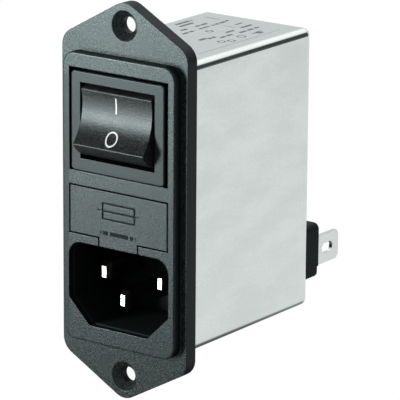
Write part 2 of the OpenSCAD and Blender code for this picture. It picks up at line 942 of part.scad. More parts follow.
// One turn of wire round the section of the core
module wire_turn() {
  mid = (core_r + core_hole) / 2;
  w = core_r - core_hole + 0.1;
  h = core_h + 0.1;
  translate([mid, -turn_t / 2, 0])
    rotate([90, 0, 0])
      translate([0, 0, -turn_t])
        linear_extrude(height = turn_t)
          difference() {
            rounded_rect(w + 2 * turn_t, h + 2 * turn_t, turn_t);
            square([w, h], center = true);
          }
}

module winding(side) {
  color(c_copper)
    translate([0, choke_y, choke_z])
      rotate([90, 0, 0])
        for (i = [0:turns - 1])
          rotate([0, 0, side + (i - (turns - 1) / 2) * turn_step])
            wire_turn();
}

module winding_line() {
  winding(180);
}

module winding_neutral() {
  winding(0);
}

module x_capacitor() {
  color(c_yellow)
    translate([0, 0, x_cap_z])
      along_y(board_y - 10.2, board_y)
        rounded_rect(18, 7.6, 0.6);
}

module y_capacitors() {
  color(c_blue)
    both_sides()
      translate([y_cap_x, y_cap_y, earth_z])
        rod_x(y_cap_d, -1.5, 1.5);
}

module bleeder_resistor() {
  y = board_y - 2;
  color(c_cream)
    translate([0, y, resistor_z]) {
      rod_x(2.2, -3, 3);
      for (s = [-1, 1])
        translate([s * 2.6, 0, 0])
          rod_x(2.6, -0.9, 0.9);
    }
}

module component_leads() {
  d = 2 * lead_r;
  bend_y = board_y - 2;
  color(c_tin) {
    // choke leads start beside the end turns
    for (i = [0:3])
      translate([lead_spots[i][0], 0, lead_spots[i][1]])
        rod_y(d, choke_y, lead_end);
    for (i = [4, 5])
      translate([lead_spots[i][0], 0, lead_spots[i][1]])
        rod_y(d, board_y + 0.02, lead_end);
    for (i = [6:9])
      translate([lead_spots[i][0], 0, lead_spots[i][1]])
        rod_y(d, y_cap_y + sqrt(pow(y_cap_d / 2, 2) - pow(y_cap_lead - lead_r, 2)) + 0.05, lead_end);
    for (s = [-1, 1])
      translate([s * 5.6, 0, resistor_z]) {
        rod_y(d, bend_y, lead_end);
        translate([0, bend_y, 0]) {
          sphere(d = d);
          rod_x(d, s > 0 ? -2.05 : 0, s > 0 ? 0 : 2.05);
        }
      }
  }
}

// ---- wiring ----

module wire_cores() {
  color(c_copper)
    for (x = [-1, 1])
      translate([x * pole_x, 0, switch_z])
        rod_y(1, term_back + 0.02, lead_end);
}

module wire_sleeves() {
  color(c_red)
    for (x = [-1, 1])
      translate([x * pole_x, 0, switch_z])
        difference() {
          rod_y(2, term_back + 1, board_y - 0.7);
          rod_y(1.04, term_back, board_y);
        }
}

module earth_strap() {
  color(c_tin)
    block(-1.5, 1.5, strap_y, board_y - 1, earth_z - 0.4, earth_z + 0.4);
}

module rear_insulator() {
  y1 = can_depth - sheet_t - 0.1;
  w = can_w - 2 * sheet_t - 2;
  h = body_h - 2 * sheet_t - 2;
  color(c_cream)
    difference() {
      block(-w / 2, w / 2, y1 - 0.25, y1, -h / 2, h / 2);
      for (s = [-1, 1])
        translate([s * tab_x, 0, tab_z])
          block(-spigot_w / 2 - skin, 4, y1 - 1, y1 + 1, -spigot_h / 2 - 0.1, spigot_h / 2 + 0.1);
      block(-tab_x - 4, -tab_x, y1 - 1, y1 + 1, tab_z - spigot_h / 2 - 0.1, tab_z + spigot_h / 2 + 0.1);
      block(-3.2, 3.2, y1 - 1, y1 + 1, tab_z - 4, tab_z + 4);
    }
}

// ---- rear block and tabs ----

module terminal_block() {
  x = block_w / 2;
  r = 1.3;
  color(c_black)
    difference() {
      union() {
        along_y(can_depth, block_back)
          translate([0, (block_z0 + block_z1) / 2])
            rounded_rect(block_w, block_z1 - block_z0, r);
        along_y(block_back - 0.1, block_back + pad_t)
          translate([0, (pad_z0 + block_z1) / 2])
            rounded_poly([[x, (block_z1 - pad_z0) / 2], [-x, (block_z1 - pad_z0) / 2],
              [-x, -(block_z1 - pad_z0) / 2], [x, -(block_z1 - pad_z0) / 2]], [r, r, 0.3, 0.3]);
        for (s = [-1, 1])
          translate([s * tab_x, 0, tab_z])
            block(-spigot_w / 2, spigot_w / 2, can_depth - 1, can_depth + 1,
              -spigot_h / 2, spigot_h / 2);
      }
      for (s = [-1, 0, 1])
        translate([s * tab_x, 0, tab_z]) {
          block(-tab_t / 2 - skin, tab_t / 2 + skin, can_depth + (s == 0 ? -1 : 0.6),
            tab_end, -tab_w / 2 - skin, tab_w / 2 + skin);
          block(-tab_t / 2 - skin, tab_t / 2 + skin, can_depth - 2, can_depth + 2,
            -tail_w / 2 - skin, tail_w / 2 + skin);
        }
    }
}

// Blade drawn in Y and Z: chamfered end, slotted hole, narrow tail
module tab_blade(root_y, tail_y) {
  w = tab_w / 2;
  tail = tail_w / 2;
  cut = 0.8;
  hole_y = tab_end - 4.15;
  difference() {
    polygon([[root_y, w], [tab_end - cut, w], [tab_end, w - cut], [tab_end, -w + cut],
      [tab_end - cut, -w], [root_y, -w], [root_y, -tail], [tail_y, -tail],
      [tail_y, tail], [root_y, tail]]);
    translate([hole_y - 0.85, 0])
      circle(r = 1.1);
    translate([hole_y + 0.85, 0])
      circle(r = 1.1);
    translate([hole_y - 0.85, -1.1])
      square([1.7, 2.2]);
  }
}

module side_tab() {
  color(c_tin)
    translate([tab_x, 0, tab_z])
      along_x(-tab_t / 2, tab_t / 2)
        tab_blade(can_depth + 0.6 + skin, board_y - 0.8);
}

module line_tab() {
  mirror([1, 0, 0])
    side_tab();
}

module neutral_tab() {
  side_tab();
}

// The earth tab stands on a foot against the inside of the can
module earth_tab() {
  foot_y = can_depth - sheet_t;
  color(c_tin)
    translate([0, 0, tab_z]) {
      along_x(-tab_t / 2, tab_t / 2)
        tab_blade(foot_y - 0.4, board_y - 0.95);
      block(-3, 3, foot_y - 0.5, foot_y, -tab_w / 2, tab_w / 2);
    }
}

// ---- assembly ----

front_housing();
line_pin();
neutral_pin();
earth_pin();
switch_body();
rocker();
plungers();
plunger_springs();
lever_line();
lever_neutral();
lever_rivet_line();
lever_rivet_neutral();
fixed_rivets();
fixed_terminals();
common_terminals();
fuse_drawer();
fuse_glass();
fuse_caps();
fuse_elements();
supply_clips();
load_clips();
filter_can();
circuit_board();
choke_core();
choke_base();
winding_line();
winding_neutral();
x_capacitor();
y_capacitors();
bleeder_resistor();
component_leads();
wire_cores();
wire_sleeves();
earth_strap();
rear_insulator();
terminal_block();
line_tab();
neutral_tab();
earth_tab();
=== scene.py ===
"""Finishes and lighting for a panel-mount power entry module with a line filter.

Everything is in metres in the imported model's frame: X to the right seen from the
front, +Y into the equipment, +Z up, origin on the panel seat of the front plate.
"""
import math

import bpy
from mathutils import Matrix, Vector

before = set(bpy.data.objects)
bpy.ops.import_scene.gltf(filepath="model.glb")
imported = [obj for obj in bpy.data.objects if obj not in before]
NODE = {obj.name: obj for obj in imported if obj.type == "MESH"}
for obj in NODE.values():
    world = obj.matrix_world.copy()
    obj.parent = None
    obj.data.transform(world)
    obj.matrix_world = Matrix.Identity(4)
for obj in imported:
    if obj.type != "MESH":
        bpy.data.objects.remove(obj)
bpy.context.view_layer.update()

MM = 0.001
SCENE = bpy.context.scene


# ---------------------------------------------------------------- shader tools

class Graph:
    """Short calls for building a node tree."""

    def __init__(self, tree):
        self.tree = tree

    def node(self, kind, **settings):
        made = self.tree.nodes.new(kind)
        for name, value in settings.items():
            setattr(made, name, value)
        return made

    def link(self, source, target):
        self.tree.links.new(source, target)

    def put(self, socket, value):
        """A socket is fed by another socket, or set to a plain value."""
        if isinstance(value, bpy.types.NodeSocket):
            self.link(value, socket)
        elif value is not None:
            socket.default_value = value

    def math(self, operation, a, b=None, clamp=False):
        made = self.node("ShaderNodeMath", operation=operation, use_clamp=clamp)
        for socket, value in zip(made.inputs, (a, b)):
            self.put(socket, value)
        return made.outputs[0]

    def times(self, *values):
        """Product of two or more values."""
        product = values[0]
        for value in values[1:]:
            product = self.math("MULTIPLY", product, value)
        return product

    def either(self, masks):
        """One mask that is on wherever any of the given ones is."""
        total = masks[0]
        for mask in masks[1:]:
            total = self.math("MAXIMUM", total, mask)
        return total

    def ramp(self, value, low, high, out_low=0.0, out_high=1.0, smooth=True):
        made = self.node("ShaderNodeMapRange",
                         interpolation_type="SMOOTHSTEP" if smooth else "LINEAR")
        for name, number in (("Value", value), ("From Min", low), ("From Max", high),
                             ("To Min", out_low), ("To Max", out_high)):
            self.put(made.inputs[name], number)
        return made.outputs[0]

    def noise(self, vector, scale, detail=2.0, roughness=0.5):
        made = self.node("ShaderNodeTexNoise")
        for name, value in (("Vector", vector), ("Scale", scale), ("Detail", detail),
                            ("Roughness", roughness)):
            self.put(made.inputs[name], value)
        return made.outputs["Fac"]

    def stretch(self, vector, factors):
        made = self.node("ShaderNodeMapping")
        self.put(made.inputs["Vector"], vector)
        made.inputs["Scale"].default_value = factors
        return made.outputs[0]

    def blend(self, factor, a, b):
        made = self.node("ShaderNodeMix", data_type="RGBA")
        colours = [s for s in made.inputs if s.type == "RGBA"]
        self.put(made.inputs["Factor"], factor)
        for socket, value in zip(colours, (a, b)):
            self.put(socket, value if isinstance(value, bpy.types.NodeSocket) else (*value, 1))
        return [s for s in made.outputs if s.type == "RGBA"][0]

    def place(self):
        return self.node("ShaderNodeTexCoord").outputs["Object"]

    def facing_y(self):
        """Y of the surface's own direction: -1 where it faces the front."""
        return self.split(self.node("ShaderNodeTexCoord").outputs["Normal"])["Y"]

    def split(self, vector):
        made = self.node("ShaderNodeSeparateXYZ")
        self.link(vector, made.inputs[0])
        return made.outputs

    def split_mm(self, vector):
        """X, Y and Z of a place, in millimetres."""
        return self.split(self.stretch(vector, (1000, 1000, 1000)))

    def group(self, tree, **values):
        made = self.node("ShaderNodeGroup")
        made.node_tree = tree
        for name, value in values.items():
            self.put(made.inputs[name.replace("_", " ")], value)
        return made.outputs


NUMBER, COLOUR, VECTOR = "NodeSocketFloat", "NodeSocketColor", "NodeSocketVector"


def new_group(name, inputs, outputs):
    """A shader node group with named sockets; returns its graph and both ends."""
    tree = bpy.data.node_groups.new(name, "ShaderNodeTree")
    for label, kind, default in inputs:
        socket = tree.interface.new_socket(label, in_out="INPUT", socket_type=kind)
        if default is not None:
            socket.default_value = default
    for label, kind in outputs:
        tree.interface.new_socket(label, in_out="OUTPUT", socket_type=kind)
    graph = Graph(tree)
    return graph, graph.node("NodeGroupInput").outputs, graph.node("NodeGroupOutput").inputs


def moulded_grain_group():
    """Spark-eroded mould texture: a fine pitted height and the sparkle it gives."""
    g, i, o = new_group(
        "Moulded Grain",
        [("Vector", VECTOR, None), ("Pit Size", NUMBER, 0.3), ("Base", COLOUR, (0.05, 0.05, 0.05, 1)),
         ("Speck", COLOUR, (0.1, 0.1, 0.1, 1)), ("Speck Amount", NUMBER, 0.4),
         ("Roughness", NUMBER, 0.5), ("Roughness Spread", NUMBER, 0.1)],
        [("Color", COLOUR), ("Roughness", NUMBER), ("Height", NUMBER)])
    scale = g.math("DIVIDE", 1000.0, i["Pit Size"])
    coarse = g.noise(i["Vector"], scale, 2.0, 0.6)
    fine = g.noise(i["Vector"], g.times(scale, 2.7), 1.0, 0.5)
    patch = g.noise(i["Vector"], 90.0, 2.0, 0.5)
    height = g.math("ADD", g.times(coarse, 0.65), g.times(fine, 0.35))
    speck = g.times(g.ramp(height, 0.42, 0.68), i["Speck Amount"])
    g.link(g.blend(speck, i["Base"], i["Speck"]), o["Color"])
    uneven = g.math("SUBTRACT", g.math("ADD", coarse, patch), 1.0)
    g.link(g.math("ADD", i["Roughness"], g.times(i["Roughness Spread"], uneven), clamp=True),
           o["Roughness"])
    g.link(height, o["Height"])
    return g.tree


def rolled_sheet_group():
    """Bright rolled sheet: faint cloudy tone, fine rolling lines and handling haze."""
    g, i, o = new_group(
        "Rolled Sheet",
        [("Vector", VECTOR, None), ("Base", COLOUR, (0.6, 0.6, 0.6, 1)),
         ("Cloud", COLOUR, (0.55, 0.55, 0.55, 1)), ("Roughness", NUMBER, 0.2),
         ("Line Amount", NUMBER, 0.5)],
        [("Color", COLOUR), ("Roughness", NUMBER), ("Height", NUMBER)])
    cloud = g.noise(g.stretch(i["Vector"], (160, 70, 190)), 1.0, 4.0, 0.6)
    lines = g.noise(g.stretch(i["Vector"], (2600, 160, 2600)), 1.0, 2.0, 0.5)
    dust = g.noise(i["Vector"], 2200.0, 2.0, 0.6)
    tone = g.math("ADD", g.times(cloud, 0.6), g.times(dust, 0.4))
    g.link(g.blend(g.ramp(tone, 0.36, 0.64), i["Base"], i["Cloud"]), o["Color"])
    haze = g.times(g.math("SUBTRACT", cloud, 0.5), 0.12)
    streak = g.times(g.math("SUBTRACT", lines, 0.5), g.times(i["Line Amount"], 0.1))
    g.link(g.math("ADD", i["Roughness"], g.math("ADD", haze, streak), clamp=True), o["Roughness"])
    g.link(g.math("ADD", g.times(lines, i["Line Amount"]), g.times(dust, 0.3)), o["Height"])
    return g.tree


def inside_edge(g, past, soft):
    """1 where past is below zero, falling to 0 over soft on each side of the edge."""
    return g.ramp(past, g.times(soft, -1.0), soft, 1.0, 0.0)


def bar_group():
    """Mask of one bar: centre and half sizes on two chosen axes, in millimetres."""
    g, i, o = new_group(
        "Bar Mask",
        [("U", NUMBER, 0.0), ("V", NUMBER, 0.0), ("Centre U", NUMBER, 0.0), ("Centre V", NUMBER, 0.0),
         ("Half U", NUMBER, 1.0), ("Half V", NUMBER, 1.0), ("Soft", NUMBER, 0.04)],
        [("Mask", NUMBER)])
    inside = []
    for axis in "UV":
        away = g.math("ABSOLUTE", g.math("SUBTRACT", i[axis], i["Centre " + axis]))
        inside.append(inside_edge(g, g.math("SUBTRACT", away, i["Half " + axis]), i["Soft"]))
    g.link(g.times(*inside), o["Mask"])
    return g.tree


def ring_group():
    """Mask of one ring: centre, mean radius and half stroke, in millimetres."""
    g, i, o = new_group(
        "Ring Mask",
        [("U", NUMBER, 0.0), ("V", NUMBER, 0.0), ("Centre U", NUMBER, 0.0), ("Centre V", NUMBER, 0.0),
         ("Radius", NUMBER, 1.0), ("Half Stroke", NUMBER, 0.2), ("Soft", NUMBER, 0.04)],
        [("Mask", NUMBER)])
    du = g.math("SUBTRACT", i["U"], i["Centre U"])
    dv = g.math("SUBTRACT", i["V"], i["Centre V"])
    far = g.math("SQRT", g.math("ADD", g.times(du, du), g.times(dv, dv)))
    away = g.math("ABSOLUTE", g.math("SUBTRACT", far, i["Radius"]))
    g.link(inside_edge(g, g.math("SUBTRACT", away, i["Half Stroke"]), i["Soft"]), o["Mask"])
    return g.tree


def dash_row_group():
    """Mask of one printed row: short dashes of uneven length along V, in millimetres."""
    g, i, o = new_group(
        "Dash Row",
        [("U", NUMBER, 0.0), ("V", NUMBER, 0.0), ("Centre U", NUMBER, 0.0), ("Half U", NUMBER, 0.3),
         ("Start V", NUMBER, 0.0), ("End V", NUMBER, 1.0), ("Pitch", NUMBER, 0.5),
         ("Seed", NUMBER, 0.0), ("Fill", NUMBER, 0.6)],
        [("Mask", NUMBER)])
    middle = g.times(g.math("ADD", i["Start V"], i["End V"]), 0.5)
    half = g.times(g.math("SUBTRACT", i["End V"], i["Start V"]), 0.5)
    row = g.group(BAR, U=i["U"], V=i["V"], Centre_U=i["Centre U"], Centre_V=middle,
                  Half_U=i["Half U"], Half_V=half)["Mask"]
    cell = g.math("FLOOR", g.math("DIVIDE", i["V"], i["Pitch"]))
    pair = g.node("ShaderNodeCombineXYZ")
    g.link(cell, pair.inputs[0])
    g.link(i["Seed"], pair.inputs[1])
    dice = g.node("ShaderNodeTexWhiteNoise", noise_dimensions="2D")
    g.link(pair.outputs[0], dice.inputs["Vector"])
    printed = g.math("LESS_THAN", dice.outputs["Value"], i["Fill"])
    g.link(g.times(row, printed), o["Mask"])
    return g.tree


GRAIN = moulded_grain_group()
SHEET = rolled_sheet_group()
BAR = bar_group()
RING = ring_group()
DASHES = dash_row_group()


# ---------------------------------------------------------------- kinds of material

MARK_WHITE = (0.8, 0.82, 0.81)
# black of the painted shade in joints, hollows and on the bezel's left rim
PAINTED_SHADE_BLACK = (0.001, 0.001, 0.001)
# painted shade: walls that face sideways keep only this share of the base tone
SIDE_PAINTED_SHADE = 0.12          # share of the base tone left on walls that face sideways
SHEET_LINE_DEPTH = 0.002  # mm


def start_material(name, **constants):
    """A new material with its shader; constants go straight onto the shader."""
    material = bpy.data.materials.new(name)
    material.use_nodes = True
    g = Graph(material.node_tree)
    shader = material.node_tree.nodes["Principled BSDF"]
    for label, value in constants.items():
        shader.inputs[label.replace("_", " ")].default_value = value
    return material, g, shader


def add_bump(g, shader, height, strength, depth, edge=0.0):
    """Bump of a depth in millimetres; edge rounds the shading of sharp corners."""
    bump = g.node("ShaderNodeBump")
    bump.inputs["Strength"].default_value = strength
    bump.inputs["Distance"].default_value = depth * MM
    g.put(bump.inputs["Height"], height)
    g.link(bump.outputs[0], shader.inputs["Normal"])
    if edge:
        soft = g.node("ShaderNodeBevel", samples=6)
        soft.inputs["Radius"].default_value = edge * MM
        g.link(soft.outputs[0], bump.inputs["Normal"])


def moulded_plastic(name, base, speck, speck_amount, roughness, spread, pit, depth, level,
                    sheen=(1, 1, 1), edge=0.0, marks=None, shade=None, side_roughness=None):
    """Injection-moulded plastic with a fine spark-eroded grain.

    pit, depth and edge are in millimetres.  marks gives a mask of printed marks,
    shade a mask of dark lines and of painted shade in joints and hollows and on the
    bezel's left rim, and side_roughness the duller finish of walls that don't face the
    front, which also get painted shade: their colour falls to a small share of the base tone.
    """
    material, g, shader = start_material(name, Specular_IOR_Level=level,
                                         Specular_Tint=(*sheen, 1))
    where = g.place()
    grain = g.group(GRAIN, Vector=where, Pit_Size=pit, Base=(*base, 1), Speck=(*speck, 1),
                    Speck_Amount=speck_amount, Roughness=roughness, Roughness_Spread=spread)
    colour, rough = grain["Color"], grain["Roughness"]
    if side_roughness:
        side = g.ramp(g.facing_y(), -0.75, -0.35)
        rough = g.math("MAXIMUM", rough, g.times(side, side_roughness))
        # painted shade: walls that face sideways are darkened to a small share of the base tone
        colour = g.blend(side, colour, tuple(SIDE_PAINTED_SHADE * c for c in base))
    if marks:
        colour = g.blend(marks(g, where), colour, MARK_WHITE)
    if shade:
        # painted shade: the shade mask darkens the colour towards black and dulls the surface
        painted_shade = shade(g, where)
        colour = g.blend(painted_shade, colour, PAINTED_SHADE_BLACK)
        rough = g.math("MAXIMUM", rough, painted_shade)
    g.link(colour, shader.inputs["Base Color"])
    g.link(rough, shader.inputs["Roughness"])
    add_bump(g, shader, grain["Height"], 0.6, depth, edge)
    return material


def metal(name, base, cloud, roughness, lines, edge=0.0, side=None):
    """Plated or rolled metal with a faint cloudy tone and fine lines.

    side is a painted shade: the darker tone of faces that don't face the front.
    """
    material, g, shader = start_material(name, Metallic=1.0)
    sheet = g.group(SHEET, Vector=g.place(), Base=(*base, 1), Cloud=(*cloud, 1),
                    Roughness=roughness, Line_Amount=lines)
    colour = sheet["Color"]
    if side:
        # painted shade on faces that don't face the front
        colour = g.blend(g.ramp(g.facing_y(), -0.9, -0.6), colour, side)
    g.link(colour, shader.inputs["Base Color"])
    g.link(sheet["Roughness"], shader.inputs["Roughness"])
    add_bump(g, shader, sheet["Height"], 0.4, SHEET_LINE_DEPTH, edge)
    return material


# ---------------------------------------------------------------- marks, lines and painted shade, in mm

def rocker_marks(g, where):
    """The line and the ring on the hollow face of the rocker."""
    x, y, z = g.split_mm(where)
    line = g.group(BAR, U=x, V=z, Centre_U=-0.2, Centre_V=20.3, Half_U=0.16, Half_V=1.6)["Mask"]
    ring = g.group(RING, U=x, V=z, Centre_U=-0.1, Centre_V=13.95, Radius=1.28,
                   Half_Stroke=0.15)["Mask"]
    on_face = g.ramp(y, -1.0, -1.2, smooth=False)
    return g.times(g.either([line, ring]), on_face)


BEZEL_Y = -5.0
GAP_HALF = 0.08
# joint lines beside and round the drawer front: centre x and z, half width and height;
# x counts from the middle, so each line stands on both sides
DRAWER_GAPS = (
    (12.07, -2.4, GAP_HALF, 4.9),
    (6.0, 2.47, 6.1, GAP_HALF),
    (8.4, -7.27, 3.7, GAP_HALF),
    (4.77, -8.2, GAP_HALF, 0.95),
)


def drawer_marks_and_painted_shade(g, where):
    """Painted shadow in the joint round the drawer and in its sunk symbol, dark dashes for its
    lettering, and painted shade on the bezel's left rim and in the inlet.
    """
    x, y, z = g.split_mm(where)
    beside = g.math("ABSOLUTE", x)
    on_front = g.ramp(y, BEZEL_Y + 0.05, BEZEL_Y + 0.15, 1.0, 0.0, smooth=False)
    lines = [g.group(BAR, U=beside, V=z, Centre_U=u, Centre_V=v, Half_U=half_u, Half_V=half_v)["Mask"]
             for u, v, half_u, half_v in DRAWER_GAPS]
    strokes = g.group(DASHES, U=z, V=x, Centre_U=-6.15, Half_U=0.42, Start_V=-4.5, End_V=4.4,
                      Pitch=0.42, Seed=5.0, Fill=0.66)["Mask"]
    lines.append(g.times(strokes, 0.8))

    # painted shade: a darker strip down the bezel's left edge, fading out towards the top
    rim_painted_shade = g.times(g.ramp(x, -12.5, -11.9, 0.36, 0.0), on_front, g.ramp(z, 24.5, 27.0, 1.0, 0.0))

    # painted shade: the inlet darkens towards black behind its mouth
    mouth_painted_shade = g.group(BAR, U=x, V=z, Centre_V=-17.67, Half_U=12.5, Half_V=8.55)["Mask"]
    mouth_painted_shade = g.times(mouth_painted_shade, g.ramp(y, BEZEL_Y + 0.1, BEZEL_Y + 0.8, 0.0, 0.75))

    # painted shadow in the sunk symbol
    symbol = g.group(BAR, U=x, V=z, Centre_U=0.1, Centre_V=-1.65, Half_U=4.4, Half_V=2.0)["Mask"]
    sunk = g.times(g.ramp(y, BEZEL_Y + 0.02, BEZEL_Y + 0.07, smooth=False),
                   g.ramp(y, BEZEL_Y + 0.5, BEZEL_Y + 0.6, 1.0, 0.0, smooth=False))
    return g.either([g.times(g.either(lines), on_front), rim_painted_shade, mouth_painted_shade, g.times(symbol, sunk, 0.7)])


# Generic print on the top of the can, x across and y along, with no wording in it.
# rows of dashes: x, start y, end y
PRINT_ROWS = (
    (-10.0, 27.2, 33.3), (-8.3, 26.2, 31.0), (-5.9, 23.5, 26.0), (-5.8, 28.3, 32.3),
    (-3.8, 31.2, 36.0), (2.2, 33.1, 36.9), (4.6, 29.2, 36.3), (4.3, 23.1, 27.2),
    (-3.7, 20.7, 25.3), (-8.6, 10.0, 18.0), (-6.4, 12.0, 19.0), (-4.2, 9.0, 15.5),
)
HEAVY_ROWS = ((2.3, 18.2, 21.0), (2.9, 20.8, 23.3), (7.2, 30.2, 33.4))
# border line and solid bars: x, y, half width, half length
PRINT_BARS = (
    (9.4, 22.6, 0.08, 14.0), (-3.8, 28.6, 0.35, 1.7), (-4.0, 36.8, 0.35, 0.5), (2.4, 29.0, 0.4, 1.4),
    (-0.4, 36.0, 0.3, 1.2), (7.6, 31.9, 0.75, 0.8), (-7.8, 36.8, 1.9, 0.16), (-0.5, 32.6, 1.5, 0.12),
)
# rings: x, y, radius
PRINT_RINGS = ((6.5, 20.4, 0.75), (7.6, 22.3, 0.75), (6.9, 26.7, 0.85), (-1.0, 26.6, 0.7))
PRINT_INK = (0.07, 0.10, 0.11)
CAN_TOP_Z = 29.3


def can_print(g, where):
    """Mask of the print on the top of the can, thin where the ink is worn."""
    x, y, z = g.split_mm(where)
    masks = [g.group(BAR, U=x, V=y, Centre_U=u, Centre_V=v, Half_U=half_u, Half_V=half_v)["Mask"]
             for u, v, half_u, half_v in PRINT_BARS]
    for rows, half_u, pitch, fill in ((PRINT_ROWS, 0.42, 0.42, 0.8), (HEAVY_ROWS, 0.5, 0.3, 0.75)):
        for u, start, end in rows:
            seed = 7.3 * (len(masks) - len(PRINT_BARS) + 1)
            masks.append(g.group(DASHES, U=x, V=y, Centre_U=u, Start_V=start, End_V=end,
                                 Half_U=half_u, Pitch=pitch, Seed=seed, Fill=fill)["Mask"])
    for u, v, radius in PRINT_RINGS:
        masks.append(g.group(RING, U=x, V=y, Centre_U=u, Centre_V=v, Radius=radius,
                             Half_Stroke=0.18)["Mask"])
    on_top = g.ramp(z, CAN_TOP_Z, CAN_TOP_Z + 0.2, smooth=False)
    worn = g.ramp(g.noise(where, 2600.0, 2.0, 0.6), 0.3, 0.55, 0.7, 1.0)
    return g.times(g.either(masks), on_top, worn)


# ---------------------------------------------------------------- finishes

def can_finish():
    """Drawn sheet can: bright rolled sheet with a printed panel on its top."""
    material, g, shader = start_material("can_steel_finish", Metallic=1.0)
    where = g.place()
    sheet = g.group(SHEET, Vector=where, Base=(0.845, 0.91, 0.89, 1), Cloud=(0.775, 0.84, 0.82, 1),
                    Roughness=0.14, Line_Amount=0.4)
    ink = can_print(g, where)
    g.link(g.blend(ink, sheet["Color"], PRINT_INK), shader.inputs["Base Color"])
    g.link(g.math("ADD", sheet["Roughness"], g.times(ink, 0.25)), shader.inputs["Roughness"])
    add_bump(g, shader, sheet["Height"], 0.4, SHEET_LINE_DEPTH)
    return material


def glass_finish():
    """Clear fuse tube with slight unevenness in its polish."""
    material, g, shader = start_material("fuse_glass_finish", Transmission_Weight=1.0, IOR=1.47)
    haze = g.noise(g.place(), 900.0, 2.0, 0.5)
    g.link(g.ramp(haze, 0.3, 0.7, 0.02, 0.08), shader.inputs["Roughness"])
    g.link(g.blend(haze, (0.93, 0.97, 0.97), (0.97, 0.99, 0.99)), shader.inputs["Base Color"])
    return material


def wound_wire_finish():
    """Enamelled copper wire: warm copper under a clear varnish."""
    material, g, shader = start_material("enamelled_wire_finish", Metallic=1.0, Coat_Weight=0.8,
                                         Coat_Roughness=0.08)
    patch = g.noise(g.place(), 700.0, 2.0, 0.5)
    g.link(g.blend(patch, (0.62, 0.26, 0.10), (0.78, 0.36, 0.16)), shader.inputs["Base Color"])
    g.link(g.ramp(patch, 0.3, 0.7, 0.22, 0.34), shader.inputs["Roughness"])
    return material


COOL_SHEEN = (0.78, 1.0, 1.0)
NICKEL = (0.86, 0.90, 0.88)
NICKEL_CLOUD = (0.80, 0.84, 0.82)

BLACK_HOUSING = moulded_plastic(
    "black_plastic_finish", (0.008, 0.011, 0.011), (0.065, 0.078, 0.078), speck_amount=0.6,
    roughness=0.28, spread=0.10, pit=0.36, depth=0.065, level=0.33, sheen=COOL_SHEEN, edge=0.25,
    shade=drawer_marks_and_painted_shade, side_roughness=0.5)
SWITCH_FRAME = moulded_plastic(
    "switch_plastic_finish", (0.014, 0.018, 0.017), (0.040, 0.046, 0.045), speck_amount=0.5,
    roughness=0.34, spread=0.06, pit=0.25, depth=0.02, level=0.265, sheen=COOL_SHEEN, edge=0.2,
    side_roughness=0.5)
ROCKER_BLACK = moulded_plastic(
    "rocker_plastic_finish", (0.006, 0.0075, 0.0075), (0.070, 0.077, 0.077), speck_amount=0.6,
    roughness=0.33, spread=0.12, pit=0.38, depth=0.08, level=0.30, sheen=(0.84, 1.0, 1.0), edge=0.2,
    marks=rocker_marks)
REAR_BLOCK = moulded_plastic(
    "block_plastic_finish", (0.003, 0.007, 0.007), (0.008, 0.013, 0.013), speck_amount=0.4,
    roughness=0.55, spread=0.06, pit=0.25, depth=0.006, level=0.15, sheen=COOL_SHEEN, edge=0.25)
# bright tips, with painted shade on the sides that don't face the front
CONTACT_PIN = metal("contact_pin_finish", NICKEL, NICKEL_CLOUD, roughness=0.22, lines=0.4,
                    side=(0.20, 0.19, 0.17))

NODE_FINISH = {
    "front_housing": BLACK_HOUSING,
    "fuse_drawer": BLACK_HOUSING,
    "switch_body": SWITCH_FRAME,
    "rocker": ROCKER_BLACK,
    "terminal_block": REAR_BLOCK,
    "filter_can": can_finish(),
    "line_pin": CONTACT_PIN,
    "neutral_pin": CONTACT_PIN,
    "earth_pin": CONTACT_PIN,
}

